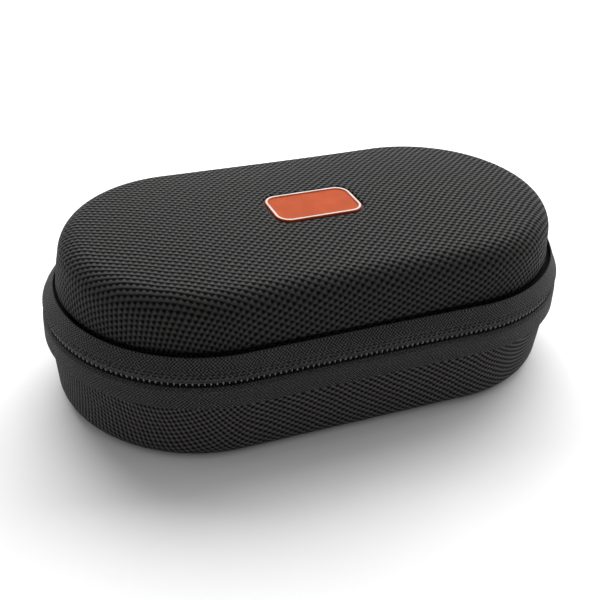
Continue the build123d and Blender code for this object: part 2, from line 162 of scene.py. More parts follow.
# The way round the case
def ring(distance):
    """Centre, and outward direction, at places along the zip line.

    The way is counted along the coils, clockwise from the back of the right-hand end.
    """
    d = np.asarray(distance, float)
    half = pi * MIDDLE
    angle = (np.clip(d, 0, half) + np.clip(d - half - 2 * straight, 0, half)) / MIDDLE
    centre = straight + np.minimum(d, 0) - np.clip(d - half, 0, 2 * straight)
    centre += np.clip(d - 2 * half - 2 * straight, 0, 2 * straight)
    return centre, np.sin(angle), np.cos(angle)


end_length = pi * MIDDLE
ring_length = 2 * end_length + 4 * straight

# Places that the soft pieces lean to or from
RIGHT_END = 0.5 * end_length
CORNER_RIGHT = end_length - 8.0
CORNER_LEFT = end_length + 2 * straight + 14.0
LEFT_END = 1.5 * end_length + 2 * straight


def at_angle(angle):
    """The way to an angle round the right-hand end, in degrees from straight back."""
    return radians(angle) * MIDDLE


def left_angle(angle):
    """The way to an angle round the left-hand end, in degrees from straight back."""
    return 2 * end_length + 2 * straight - radians(angle) * MIDDLE


def back_x(x):
    """The way to a place on the back."""
    return 2 * end_length + 2 * straight + x + straight


def along(first, last, step):
    """Places from one to another, about a step apart."""
    return np.linspace(first, last, max(2, int(round((last - first) / step)) + 1))


def all_round(count):
    """So many places all the way round, evenly apart."""
    return np.linspace(0, ring_length, count + 1)[:-1]


def bell(value, middle, width, power=2):
    """A soft bump, one high at its middle."""
    return np.exp(-(((value - middle) / width) ** power))


def spread(ways, r):
    """X and Y at distances r from the centre line, [way, distance, 2]."""
    centre, out_x, out_y = (part[:, None] for part in ring(ways))
    return np.stack([centre + out_x * r, out_y * r], 2)


def from_zip(line, up=1):
    """A line of (r, height from the zip line) as (r, z), upwards or downwards."""
    return [(r, zip_z + up * height) for r, height in line]


# Meshes
def linked(name, mesh):
    """An object for a mesh, in the scene."""
    obj = bpy.data.objects.new(name, mesh)
    bpy.context.scene.collection.objects.link(obj)
    return obj


def smooth(mesh):
    mesh.polygons.foreach_set("use_smooth", [True] * len(mesh.polygons))


def grid(name, points, uv, wrap=(False, False), caps=False):
    """A mesh over points [n, m, 3] in millimetres, with fabric coordinates [n(+1), m(+1), 2]."""
    n, m = points.shape[:2]
    rows = n if wrap[0] else n - 1
    cols = m if wrap[1] else m - 1
    i, j = np.meshgrid(np.arange(rows), np.arange(cols), indexing="ij")
    i, j = i.ravel(), j.ravel()
    corners = [(i, j), (i + 1, j), (i + 1, j + 1), (i, j + 1)]
    faces = np.stack([(a % n) * m + b % m for a, b in corners], 1).tolist()
    loops = np.stack([uv[a, b] for a, b in corners], 1).reshape(-1, 2)
    if caps:
        first = list(range(m))
        last = list(range((n - 1) * m, n * m))
        faces += [first[::-1], last]
        loops = np.vstack([loops, uv[0, :m][::-1], uv[-1, :m]])
    mesh = bpy.data.meshes.new(name)
    mesh.from_pydata((points.reshape(-1, 3) * MM).tolist(), [], faces)
    layer = mesh.uv_layers.new(name="cloth")
    layer.data.foreach_set("uv", (loops / CLOTH_UNIT).ravel())
    smooth(mesh)
    return linked(name, mesh)


def reworked(obj, change):
    """The object with its mesh changed by a bmesh operation."""
    build = bmesh.new()
    build.from_mesh(obj.data)
    change(build)
    build.to_mesh(obj.data)
    build.free()
    return obj


def outward(obj):
    """Faces of a closed mesh turned outwards."""
    return reworked(obj, lambda build: bmesh.ops.recalc_face_normals(build, faces=build.faces))


def welded(obj):
    """Points that meet joined into one."""
    return reworked(
        obj, lambda build: bmesh.ops.remove_doubles(build, verts=build.verts, dist=SAME_PLACE)
    )


def carried(name, section, ways, closed=True, wrap=False, relief=None):
    """A section of (r, z) carried along the way, all round with wrap.

    An open section lies on the centre line with both ends. The relief gives how far each point
    moves outwards and upwards, by way and place in the section.
    """
    section = np.array(section, float)
    steps = np.hypot(*np.diff(section, axis=0, append=section[:1]).T)
    across = np.concatenate([[0], np.cumsum(steps)])
    r = np.repeat(section[None, :, 0], len(ways), 0)
    z = np.repeat(section[None, :, 1], len(ways), 0)
    if relief is not None:
        moved_r, moved_z = relief(ways, section)
        r, z = r + moved_r, z + moved_z
    points = np.dstack([spread(ways, r), z])
    ends = np.append(ways, ways[-1] + (ways[-1] - ways[-2])) if wrap else ways
    columns = across if closed else across[:-1]
    uv = np.stack(np.meshgrid(ends, columns, indexing="ij"), 2)
    return outward(welded(grid(name, points, uv, (wrap, closed), caps=closed and not wrap)))


def arc(centre, radius, start, stop, count):
    """Points of an arc, angles in radians."""
    turn = np.linspace(start, stop, count)
    return [(centre[0] + radius * cos(a), centre[1] + radius * sin(a)) for a in turn]


def softened(points, radius, count=5, closed=True):
    """A line with its corners rounded."""
    points = [np.array(p, float) for p in points]
    result = []
    total = len(points)
    for k, corner in enumerate(points):
        if not closed and k in (0, total - 1):
            result.append(tuple(corner))
            continue
        before, after = points[k - 1], points[(k + 1) % total]
        to_before, to_after = before - corner, after - corner
        length_before, length_after = np.hypot(*to_before), np.hypot(*to_after)
        reach = min(radius, CORNER_SHARE * length_before, CORNER_SHARE * length_after)
        a = corner + to_before / length_before * reach
        b = corner + to_after / length_after * reach
        for t in np.linspace(0, 1, count):
            result.append(tuple((1 - t) ** 2 * a + 2 * t * (1 - t) * corner + t**2 * b))
    return result


def divided(points, step, closed=False):
    """A line with points added so that no two are further apart than the step."""
    points = [np.array(p, float) for p in points]
    if closed:
        points.append(points[0])
    result = []
    for a, b in zip(points, points[1:]):
        count = max(1, int(np.ceil(np.hypot(*(b - a)) / step)))
        result += [tuple(a + (b - a) * k / count) for k in range(count)]
    if not closed:
        result.append(tuple(points[-1]))
    return result


# Materials
class Graph:
    """Short names for the nodes that the materials use."""

    def __init__(self, tree):
        self.tree = tree
        self.shader = tree.nodes["Principled BSDF"]

    def node(self, kind, **settings):
        made = self.tree.nodes.new(kind)
        for key, value in settings.items():
            setattr(made, key, value)
        return made

    def put(self, value, socket):
        if isinstance(value, bpy.types.NodeSocket):
            self.tree.links.new(value, socket)
        else:
            socket.default_value = value

    def math(self, operation, a, b=0.0, c=0.0, clamp=False):
        made = self.node("ShaderNodeMath", operation=operation, use_clamp=clamp)
        for value, socket in zip((a, b, c), made.inputs):
            self.put(value, socket)
        return made.outputs[0]

    def cloth(self):
        """Fabric coordinates in millimetres: along, across."""
        uv = self.node("ShaderNodeUVMap", uv_map="cloth")
        split = self.node("ShaderNodeSeparateXYZ")
        self.put(uv.outputs[0], split.inputs[0])
        return [self.math("MULTIPLY", split.outputs[k], CLOTH_UNIT) for k in (0, 1)]

    def place(self):
        """Place in the piece's own millimetres."""
        coordinates = self.node("ShaderNodeTexCoord")
        scaled = self.node("ShaderNodeVectorMath", operation="SCALE")
        self.put(coordinates.outputs["Object"], scaled.inputs[0])
        scaled.inputs["Scale"].default_value = 1 / MM
        return scaled.outputs[0]

    def vector(self, x, y, z=0.0):
        made = self.node("ShaderNodeCombineXYZ")
        for value, socket in zip((x, y, z), made.inputs):
            self.put(value, socket)
        return made.outputs[0]

    def noise(self, vector, scale, detail=2.0, rough=0.5):
        made = self.node("ShaderNodeTexNoise")
        self.put(vector, made.inputs["Vector"])
        made.inputs["Scale"].default_value = scale
        made.inputs["Detail"].default_value = detail
        made.inputs["Roughness"].default_value = rough
        return made.outputs[0]

    def remap(self, value, low, high, to_low=0.0, to_high=1.0, kind="SMOOTHSTEP"):
        made = self.node("ShaderNodeMapRange", interpolation_type=kind)
        for given, socket in zip((value, low, high, to_low, to_high), made.inputs):
            self.put(given, socket)
        return made.outputs[0]

    def ramp(self, value, *stops):
        made = self.node("ShaderNodeValToRGB")
        self.put(value, made.inputs[0])
        elements = made.color_ramp.elements
        while len(elements) < len(stops):
            elements.new(0.5)
        for element, (at, colour) in zip(elements, stops):
            element.position = at
            element.color = (*colour, 1.0)
        return made.outputs[0]

    def waves(self, value, pitch):
        """Cosine of a length, one turn to each pitch."""
        return self.math("COSINE", self.math("MULTIPLY", value, 2 * pi / pitch))

    def plane_wave(self, x, y, along_x, along_y, shift=0.0):
        """Cosine of a plane wave with so many turns a millimetre along and across."""
        across = self.math("MULTIPLY_ADD", y, along_y * 2 * pi, shift)
        return self.math("COSINE", self.math("MULTIPLY_ADD", x, along_x * 2 * pi, across))

    def finish(self, colour, height, depth, rough=None):
        """Colour and relief joined to the shader, and roughness where it varies."""
        bump = self.node("ShaderNodeBump")
        bump.inputs["Strength"].default_value = 1.0
        bump.inputs["Distance"].default_value = depth * MM
        self.put(height, bump.inputs["Height"])
        self.put(bump.outputs[0], self.shader.inputs["Normal"])
        self.put(colour, self.shader.inputs["Base Color"])
        if rough is not None:
            self.put(rough, self.shader.inputs["Roughness"])


def material(name, **values):
    """A material and its graph; values are its shader's own sockets, with _ for a space."""
    made = bpy.data.materials.new(name)
    made.use_nodes = True
    graph = Graph(made.node_tree)
    for key, value in values.items():
        graph.shader.inputs[key.replace("_", " ")].default_value = value
    return made, graph


def weave(name, first, second, lean, painted_side_light, painted_hole_shade, low, high, rough):
    """Coarse nylon weave: plump floats in staggered rows, with holes between them in painted
    shade.

    first and second are the two waves that cross, in turns a millimetre along and across. lean is
    the first one's share at the left end and at the middle, upright is how much of a third wave
    is added at the left and at the right, painted light on one side of each float and painted
    shade on the other, and the three colours go from the holes to the floats by height, so that
    the darkest is painted shade in the holes.
    """
    made, g = material(name, Specular_IOR_Level=0.07, Sheen_Weight=0.01)
    x, y = g.cloth()
    uneven = 1.6
    across_seed, patch_seed = 7.0, 3.0
    x2 = g.math("MULTIPLY_ADD", g.noise(g.vector(x, y), scale=0.06), uneven, x)
    y2 = g.math("MULTIPLY_ADD", g.noise(g.vector(y, x, across_seed), scale=0.07), uneven, y)
    one = g.plane_wave(x2, y2, *first)
    two = g.plane_wave(x2, y2, *second)

    # Round the ends, the two waves are nearly even on the walls
    left_x, middle_x = -80.0, -5.0
    top_reach, wall_reach, wall_share = 40.0, 50.0, 0.55
    past = g.math("MAXIMUM", g.math("SUBTRACT", g.math("ABSOLUTE", x), straight), 0.0)
    reach = g.math("SQRT", g.math("MULTIPLY_ADD", past, past, g.math("MULTIPLY", y, y)))
    on_wall = g.remap(reach, top_reach, wall_reach, 0.0, wall_share)
    share = g.math("MAXIMUM", g.remap(x, left_x, middle_x, *lean), on_wall)
    rest = g.math("SUBTRACT", 1.0, share)
    both = g.math("MULTIPLY_ADD", one, share, g.math("MULTIPLY", two, rest))

    # The third wave stands between the two, a quarter turn late: it raises one side of a float in
    # the relief, and in the colour it is painted light on that side and painted shade on the other
    end_x = 60.0
    between = g.plane_wave(x2, y2, second[0] - first[0], second[1] - first[1], -pi / 2)
    both = g.math("MULTIPLY_ADD", between, g.remap(x, -end_x, end_x, *painted_side_light), both)

    stretch_x, stretch_y = 0.7, 6.0
    strands = g.vector(g.math("MULTIPLY", x2, stretch_x), g.math("MULTIPLY", y2, stretch_y))
    filament = g.noise(strands, scale=1.0, detail=3.0, rough=0.6)
    patch = g.noise(g.vector(x, y, patch_seed), scale=0.35, detail=3.0, rough=0.6)
    hole, crest = -0.95, 0.75
    lift = g.remap(both, hole, crest)
    filament_tone, patch_tone = 0.22, 0.2
    even = -(filament_tone + patch_tone) / 2
    shade = g.math("MULTIPLY_ADD", patch, patch_tone, even)
    shade = g.math("MULTIPLY_ADD", filament, filament_tone, shade)
    tone = g.math("ADD", lift, shade, clamp=True)
    filament_height, hole_rough = 0.1, 0.9
    # The colour follows the height: the holes carry painted shade, the darkest colour
    g.finish(
        g.ramp(tone, (0.0, painted_hole_shade), (0.35, low), (1.0, high)),
        g.math("MULTIPLY_ADD", filament, filament_height, lift),
        depth=0.62,
        rough=g.remap(lift, 0.0, 1.0, hole_rough, rough),
    )
    return made


def twill(name, low, high, plain_to, stitches=False):
    """Herringbone tape: diagonal ribs that change side from band to band.

    Across the tape is counted from the zip's mouth, where it is smoother up to plain_to. The
    stitches run in rows close to the mouth. The colour follows the height, so the low colour is
    painted shade in the grooves between the ribs and in the stitch holes.
    """
    made, g = material(name, Roughness=0.7, Specular_IOR_Level=0.2, Sheen_Weight=0.03)
    x, y = g.cloth()
    band, band_shift = 2.9, 0.4
    rib_pitch, rib_slope, uneven = 1.15, 1.15, 1.2
    knot_pitch = 1.3
    cloud_seed = 5.0
    side = g.math("PINGPONG", g.math("ADD", y, band_shift), band)
    drifted = g.math("MULTIPLY_ADD", g.noise(g.vector(x, y), scale=0.25), uneven, x)
    ribs = g.waves(g.math("MULTIPLY_ADD", side, rib_slope, drifted), rib_pitch)
    knots = g.waves(g.math("SUBTRACT", x, side), knot_pitch)
    grain = g.noise(g.vector(x, y), scale=1.5, rough=0.65)
    clouds = g.noise(g.vector(x, y, cloud_seed), scale=0.22)

    rib_height, knot_height = 0.42, 0.3
    smooth_share, thin_share = 0.4, 0.5
    rough_part = g.remap(y, plain_to - 0.3, plain_to + 0.5, smooth_share, 1.0)
    worn = g.remap(clouds, 0.3, 0.6, thin_share, 1.0)
    woven = g.math("MULTIPLY_ADD", ribs, rib_height, g.math("MULTIPLY", knots, knot_height))
    height = g.math("MULTIPLY_ADD", woven, g.math("MULTIPLY", rough_part, worn), grain)
    if stitches:
        first_row, row_pitch = 2.3, 1.15
        sewn, sewn_half = 2.9, 1.1
        slant, sunk, raised = 0.3, -1.6, 0.2
        rows = g.remap(g.waves(g.math("SUBTRACT", y, first_row), row_pitch), -0.3, 0.5)
        off = g.math("ABSOLUTE", g.math("SUBTRACT", y, sewn))
        near = g.remap(off, sewn_half, sewn_half + 0.2, 1.0, 0.0)
        turns = g.math("MULTIPLY_ADD", y, slant, g.math("DIVIDE", x, TOOTH_PITCH))
        dashes = g.remap(g.waves(turns, 1.0), -0.5, 0.3)
        holes = g.math("MULTIPLY", g.math("MULTIPLY", rows, near), dashes)
        height = g.math("MULTIPLY_ADD", near, raised, height)
        height = g.math("MULTIPLY_ADD", holes, sunk, height)
    middle_share = 0.32
    middle = tuple(middle_share * (a + b) for a, b in zip(low, high))
    # Colour by height: painted shade in the grooves and, with stitches, in the stitch holes
    tone = g.remap(height, 0.2, 0.85, kind="LINEAR")
    g.finish(g.ramp(tone, (0.0, low), (0.5, middle), (1.0, high)), height, depth=0.5)
    return made


def brushed(name, low, high):
    """Napped knit: short fibres with soft patches."""
    made, g = material(name, Roughness=0.95, Sheen_Weight=0.45, Sheen_Roughness=0.35)
    at = g.place()
    fibre = g.noise(at, scale=3.2, detail=4.0, rough=0.7)
    cloud = g.noise(at, scale=0.12, detail=3.0)
    tone = g.math("MULTIPLY_ADD", cloud, 0.5, g.math("MULTIPLY", fibre, 0.5))
    g.finish(g.ramp(tone, (0.3, low), (0.72, high)), fibre, depth=0.22)
    return made


def foam(name, low, high):
    """Closed-cell foam: fine cells, lighter and darker in patches."""
    made, g = material(name, Roughness=0.88)
    at = g.place()
    cells = g.node("ShaderNodeTexVoronoi", feature="F1")
    g.put(at, cells.inputs["Vector"])
    cells.inputs["Scale"].default_value = 1.8
    patch = g.noise(at, scale=0.7)
    pits = g.remap(cells.outputs["Distance"], 0.05, 0.55)
    tone = g.math("MULTIPLY_ADD", patch, 0.5, g.math("MULTIPLY", pits, 0.5))
    g.finish(g.ramp(tone, (0.2, low), (0.9, high)), pits, depth=0.16)
    return made


def grosgrain(name, low, high):
    """Edge tape with fine cross ribs."""
    made, g = material(name, Roughness=0.7, Sheen_Weight=0.2)
    x, y = g.cloth()
    rib_pitch, rib_height = 0.55, 0.4
    grain = g.noise(g.vector(x, y), scale=2.0, detail=3.0)
    height = g.math("MULTIPLY_ADD", g.waves(x, rib_pitch), rib_height, grain)
    g.finish(g.ramp(g.remap(height, 0.0, 1.0), (0.0, low), (1.0, high)), height, depth=0.12)
    return made


def nylon(name, colour, rough, gloss):
    """Drawn monofilament, or the fine cord of a welt."""
    made, g = material(name, Specular_IOR_Level=gloss)
    spots = g.noise(g.place(), scale=1.4, detail=3.0)
    darkest = 0.6
    darker = tuple(c * darkest for c in colour)
    g.finish(
        g.ramp(spots, (0.3, darker), (0.7, colour)),
        spots,
        depth=0.03,
        rough=g.remap(spots, 0.2, 0.8, rough, rough + 0.15),
    )
    return made


def enamelled(name, colour, worn, rough):
    """Painted die-cast metal, rubbed a little."""
    made, g = material(name, Metallic=0.85)
    at = g.place()
    peel = g.noise(at, scale=2.6, detail=3.0)
    rub = g.noise(at, scale=0.55, detail=4.0, rough=0.6)
    g.finish(
        g.ramp(rub, (0.55, colour), (0.8, worn)),
        peel,
        depth=0.02,
        rough=g.remap(rub, 0.3, 0.8, rough, rough + 0.2),
    )
    return made


def rubber(name, low, high):
    """Moulded soft plastic with a fine sanded face."""
    made, g = material(name, Specular_IOR_Level=0.08)
    at = g.place()
    sand = g.noise(at, scale=6.0)
    cloud = g.noise(at, scale=0.2, detail=3.0)
    g.finish(
        g.ramp(cloud, (0.3, low), (0.7, high)),
        sand,
        depth=0.03,
        rough=g.remap(sand, 0.2, 0.8, 0.6, 0.75),
    )
    return made


def paint(obj, made):
    obj.data.materials.clear()
    obj.data.materials.append(made)


lid_weave = weave(
    "lid_weave",
    first=(-0.325, 0.383),
    second=(0.265, 0.45),
    lean=(0.34, 0.56),
    painted_side_light=(0.3, 0.08),
    painted_hole_shade=(0.0008, 0.0008, 0.0008),
    low=(0.0135, 0.0131, 0.0127),
    high=(0.039, 0.0382, 0.0374),
    rough=0.55,
)
# The base's weave is lighter than the lid's: its own tone, raised with painted light for the
# floor's bounce on its walls
base_weave_painted_bounce = weave(
    "base_weave_painted_bounce",
    first=(-0.33, 0.455),
    second=(0.32, 0.445),
    lean=(0.5, 0.58),
    painted_side_light=(0.12, 0.12),
    painted_hole_shade=(0.0008, 0.0008, 0.0009),
    low=(0.019, 0.018, 0.019),
    high=(0.077, 0.0715, 0.077),
    rough=0.55,
)
# The tapes' low colour is painted shade for the twill's grooves and stitch holes
TAPE_PAINTED_SHADE = (0.0005, 0.0005, 0.0005)
NEARLY_BLACK = (0.002, 0.002, 0.002)
upper_twill = twill("upper_twill", TAPE_PAINTED_SHADE, (0.075, 0.071, 0.072), plain_to=2.4, stitches=True)
lower_twill = twill("lower_twill", TAPE_PAINTED_SHADE, (0.078, 0.074, 0.076), plain_to=3.0)
# One black nylon in two copies: the upper coil's lighter grey is a painted highlight on its heads,
# the lower coil's near black is painted shade in the zip's gap
painted_lit_nylon = nylon("painted_lit_nylon", (0.19, 0.19, 0.187), rough=0.3, gloss=0.6)
painted_shade_nylon = nylon("painted_shade_nylon", NEARLY_BLACK, rough=0.6, gloss=0.1)
thread = nylon("thread", NEARLY_BLACK, rough=0.8, gloss=0.1)
inner_lining = brushed("inner_lining", (0.012, 0.012, 0.013), (0.045, 0.045, 0.047))
edge_tape = grosgrain("edge_tape", (0.008, 0.008, 0.008), (0.03, 0.03, 0.03))
shell_foam = foam("shell_foam", (0.02, 0.02, 0.02), (0.05, 0.05, 0.05))
insert_foam = foam("insert_foam", (0.012, 0.012, 0.013), (0.04, 0.04, 0.042))
slider_paint = enamelled("slider_paint", (0.012, 0.012, 0.012), (0.08, 0.08, 0.08), rough=0.32)
stop_paint = enamelled("stop_paint", (0.03, 0.03, 0.03), (0.2, 0.2, 0.2), rough=0.35)
badge_face = rubber("badge_face", (0.34, 0.05, 0.008), (0.4, 0.062, 0.012))
badge_rim = rubber("badge_rim", (0.5, 0.5, 0.49), (0.6, 0.6, 0.59))


# Moulded skins
lid_sizes = (lid_height, lid_side, LID_DRAFT, LID_CORNER, LID_CROWN)
base_sizes = (zip_z, base_side, BASE_DRAFT, BASE_CORNER, 0)


def half_line(height, side, draft, corner, crown, depth=0.0):
    """The line of one half in three parts: top, bend, and wall down to the rim.

    It lies at a depth under the outer face, and only the lid has a crown. Heights are from the zip
    line.
    """
    neck_height = LID_NECK_HEIGHT if crown else NECK_HEIGHT
    centre = (side - draft - corner, height - crown - corner)
    ledge = neck_height + SHOULDER
    across, down = side - centre[0], ledge - centre[1]
    tilt = atan2(down, across) + acos(corner / hypot(across, down))
    if crown:
        sphere = (centre[0] ** 2 + (crown + corner) ** 2 - corner**2) / (2 * crown)
        turn = atan2(centre[1] - height + sphere, centre[0])
        top = arc((0, height - sphere), sphere - depth, pi / 2, turn, TOP_POINTS)
    else:
        turn = pi / 2
        top = [(r, height - depth) for r in np.linspace(0, centre[0], TOP_POINTS)]
    bend = arc(centre, corner - depth, turn, tilt, BEND_POINTS)[1:]
    foot = bend[-1]
    side_foot = (foot[0] + (foot[1] - ledge - depth) * tan(tilt), ledge + depth)
    neck_line = [side_foot, (NECK - depth, neck_height + depth), (NECK - depth, RIM)]
    wall = divided([foot, side_foot], WALL_STEP)[1:-1]
    wall += softened(neck_line, NECK_ROUND, 4, closed=False)
    return top, bend, wall


def base_skin():
    """The base's skin; its fabric is measured out from the middle of the bottom."""
    top, bend, wall = half_line(*base_sizes)
    line = np.array(top + bend + wall)
    ways = np.linspace(0, ring_length, BASE_COLUMNS + 1)
    z = np.broadcast_to(zip_z - line[:, 1], (len(ways), len(line)))
    points = np.dstack([spread(ways, line[:, 0]), z])
    steps = np.hypot(*np.diff(line, axis=0).T)
    uv = spread(ways, np.concatenate([[0], np.cumsum(steps)]))
    return welded(grid("base_skin", points[:-1], uv, wrap=(True, False)))


def rounded_box_reach(x, y, half_x, half_y, corner):
    """How far from the middle a ray towards (x, y) leaves a rounded rectangle."""
    length = np.hypot(x, y)
    dx, dy = np.abs(x) / length, np.abs(y) / length
    flat = np.minimum(half_x / np.maximum(dx, 1e-9), half_y / np.maximum(dy, 1e-9))
    cx, cy = half_x - corner, half_y - corner
    along_ray = cx * dx + cy * dy
    off = cx * dy - cy * dx
    round_reach = along_ray + np.sqrt(np.maximum(corner**2 - off**2, 0))
    in_corner = (flat * dx > cx) & (flat * dy > cy)
    return np.where(in_corner, round_reach, flat)


# The recess: shares of the way out over its floor, then shares of its height with how far out of
# its outline the wall is there
RECESS_FLOOR = (0.0, 0.5, 0.9)
RECESS_WALL = (
    (0.0, -0.25),
    (0.1, -0.08),
    (0.35, 0.0),
    (0.6, 0.06),
    (0.8, 0.2),
    (0.92, 0.42),
    (0.985, 0.7),
    (1.0, RECESS_LIP),
)
# The lid isn't quite regular: its edge is pressed in at the left end and sunk at the back
PRESSED, PRESSED_AT, PRESSED_WIDTH = 0.7, LEFT_END + 4.0, 26.0
SUNK, SUNK_AT, SUNK_WIDTH = 0.75, back_x(20.0), 60.0
# Round the recess the fabric is drawn in by the first length, fading over the second
DRAWN_IN, DRAWN_OVER = 0.9, 5.0


def lid_skin():
    """The lid's skin: rings from the badge's recess out to the top's edge, then down the wall."""
    top, bend, wall = half_line(*lid_sizes)
    crown = np.array(top)
    rim_r = crown[-1, 0]
    ways = np.linspace(0, ring_length, LID_COLUMNS + 1)
    _, out_x, out_y = ring(ways)
    edge_x, edge_y = spread(ways, np.array([rim_r]))[:, 0].T
    full = np.hypot(edge_x, edge_y)
    unit_x, unit_y = edge_x / full, edge_y / full
    badge_low, badge_high = box("badge")
    recess_x, recess_y = (badge_high - badge_low)[:2] / 2 + BADGE_GAP
    floor_z = badge_low[2] - RECESS_BELOW - zip_z

    def recess_reach(out):
        """How far from the middle the recess's outline is, let out by so much."""
        return rounded_box_reach(
            edge_x, edge_y, recess_x + out, recess_y + out, RECESS_CORNER + out
        )

    def crown_z(x, y):
        r = np.hypot(x - np.clip(x, -straight, straight), y)
        return np.interp(r, crown[:, 0], crown[:, 1])

    rings = []
    outline = recess_reach(0.0)
    for share in RECESS_FLOOR:
        reach = outline * share
        rings.append((unit_x * reach, unit_y * reach, np.full_like(reach, floor_z)))
    for height_share, out in RECESS_WALL:
        reach = recess_reach(out)
        x, y = unit_x * reach, unit_y * reach
        rings.append((x, y, floor_z + (crown_z(x, y) - floor_z) * height_share))
    start = recess_reach(RECESS_LIP)
    flat_shares = np.linspace(0, 1, TOP_RINGS)[1:]
    for share in flat_shares:
        reach = start + (full - start) * share
        x, y = unit_x * reach, unit_y * reach
        rings.append((x, y, crown_z(x, y)))
    top_points = np.stack([np.stack(p, 1) for p in rings], 1)
    line = np.array(bend + wall)
    side_z = np.broadcast_to(line[:, 1], (len(ways), len(line)))
    points = np.concatenate([top_points, np.dstack([spread(ways, line[:, 0]), side_z])], 1)

    ledge = LID_NECK_HEIGHT + SHOULDER
    wall_shares = np.clip((np.array(wall)[:, 1] - ledge) / (bend[-1][1] - ledge), 0, 1)
    still = np.zeros(len(RECESS_FLOOR) + len(RECESS_WALL))
    weight = np.concatenate([still, flat_shares**2, np.ones(len(bend)), wall_shares**2])
    inward = PRESSED * bell(ways, PRESSED_AT, PRESSED_WIDTH)
    sunk = bell(ways, SUNK_AT, SUNK_WIDTH) + bell(ways + ring_length, SUNK_AT, SUNK_WIDTH)
    points[:, :, 0] -= (inward * out_x)[:, None] * weight
    points[:, :, 1] -= (inward * out_y)[:, None] * weight
    points[:, :, 2] += zip_z - (SUNK * sunk)[:, None] * weight

    steps = np.hypot(*np.diff(np.vstack([crown[-1:], line]), axis=0).T)
    side_uv = spread(ways, rim_r + np.cumsum(steps))
    from_middle = np.hypot(top_points[:, :, 0], top_points[:, :, 1])
    away = np.maximum(from_middle - outline[:, None], 0)
    pull = 1 - DRAWN_IN * np.exp(-away / DRAWN_OVER) / np.maximum(from_middle, 1.0)
    uv = np.concatenate([top_points[:, :, :2] * pull[:, :, None], side_uv], 1)
    return welded(grid("lid_skin", points[:-1], uv, wrap=(True, False)))


def solid_skin(obj):
    """The skin given the cover's thickness, inwards."""
    outward(obj)
    made = obj.modifiers.new("thickness", "SOLIDIFY")
    made.thickness = COVER * MM
    made.offset = -1
    return obj


lid_piece = solid_skin(lid_skin())
paint(lid_piece, lid_weave)
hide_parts("lid_cover")
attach(lid_piece, "lid")

base_piece = solid_skin(base_skin())
paint(base_piece, base_weave_painted_bounce)
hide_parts("base_cover")
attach(base_piece, "base")


# Foam shells and linings between the skins and the hollow
def cavity_line(height, depth):
    """The line of one half's hollow from the centre of its ceiling to its rim."""
    ceiling = height - WALL + depth
    side = RIM_INSIDE - CAVITY_DRAFT
    centre = (side - CAVITY_CORNER, ceiling - depth - CAVITY_CORNER)
    bend = arc(centre, CAVITY_CORNER + depth, pi / 2, 0, CAVITY_POINTS)
    return [(0, ceiling), *bend, (RIM_INSIDE + depth, RIM)]


def layered(name, outer, inner, up, body, node, made):
    """A closed layer between two lines, one inside the other."""
    section = from_zip([*outer, *inner[::-1]], up)
    obj = carried(name, section, all_round(LAYER_COLUMNS), closed=False, wrap=True)
    paint(obj, made)
    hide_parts(node)
    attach(obj, body)


for half, up, sizes in (("lid", 1, lid_sizes), ("base", -1, base_sizes)):
    top, bend, wall = half_line(*sizes, depth=COVER + LAYER_GAP)
    cavity_height = sizes[0] - sizes[-1]
    layered(
        f"{half}_foam_wall",
        [*top, *bend, *wall],
        cavity_line(cavity_height, LINING + LAYER_GAP),
        up,
        half,
        f"{half}_shell",
        shell_foam,
    )
    layered(
        f"{half}_inner",
        cavity_line(cavity_height, LINING),
        cavity_line(cavity_height, 0),
        up,
        half,
        f"{half}_lining",
        inner_lining,
    )


def binding(name, up, body):
    """The binding folded over one half's rim."""
    inside, outside, under = RIM_INSIDE - BINDING_GAP, NECK + LAYER_GAP, RIM - LAYER_GAP
    top, leg = under - BINDING, RIM + BINDING_LEG
    line = [
        (inside - BINDING, leg),
        (inside - BINDING, top),
        (outside + BINDING, top),
        (outside + BINDING, leg),
        (outside, leg),
        (outside, under),
        (inside, under),
        (inside, leg),
    ]
    section = from_zip(softened(line, BINDING_ROUND, 4), up)
    obj = carried(name, section, all_round(BINDING_COLUMNS), wrap=True)
    paint(obj, edge_tape)
    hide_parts(f"{body}_binding")
    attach(obj, body)


binding("lid_edge_binding", 1, "lid")
binding("base_edge_binding", -1, "base")

# Zip tapes, from the mouth to their free edges; heights are counted away from the zip line
mouth_r = half_width - MOUTH_INSET
upper_edge = (half_width - TAPE_LEAN + TAPE_OFF, TAPE_UP + TAPE_RISE)
upper_points = [(mouth_r, UPPER_GAP), (half_width, MOUTH_LIP), upper_edge]
lower_points = [(mouth_r, LOWER_GAP), (half_width, MOUTH_LIP), (half_width, TAPE_DOWN)]

# How far out the upper tape's free edge stands from its line: where, over what width, how far
STAND_OFF = (
    (CORNER_LEFT, 24.0, 0.9),
    (CORNER_RIGHT, 20.0, 0.6),
    ((CORNER_LEFT + CORNER_RIGHT) / 2, 24.0, -0.5),
    (LEFT_END + 12, 36.0, -0.7),
    (RIGHT_END, 30.0, 0.5),
)
LEAN_FROM, LEAN_POWER, LEAN_LIFT = 4.0, 1.5, 0.6

# The roll over the coil and the crease beyond it: height and half of its width
COIL_ROLL, COIL_ROLL_HALF = 1.7, 0.8
CREASE, CREASE_HALF = 3.1, 0.3
STITCH_SLANT = 0.4
UPPER_BUMP, UPPER_CREASE = 0.3, 0.2
LOWER_BUMP, LOWER_CREASE = 0.03, 0.1
# Slow waves of the tapes' faces: height, and length by radian
LONG_WAVE, LONG_WAY = 0.025, 17.0
SHORT_WAVE, SHORT_WAY = 0.02, 7.3


def tape_section(points, up):
    """A tape's section, rounded where it turns in to the zip and thinner towards its free edge."""
    outer = divided(softened(points, TAPE_ROUND, 6, closed=False), TAPE_STEP)
    edge = points[-1][1]
    inner = [(r - TAPE * (0.5 + 0.5 * min(1, (edge - z) / EDGE_TAPER)), z) for r, z in outer[::-1]]
    return from_zip([*outer, *inner], up), len(outer)


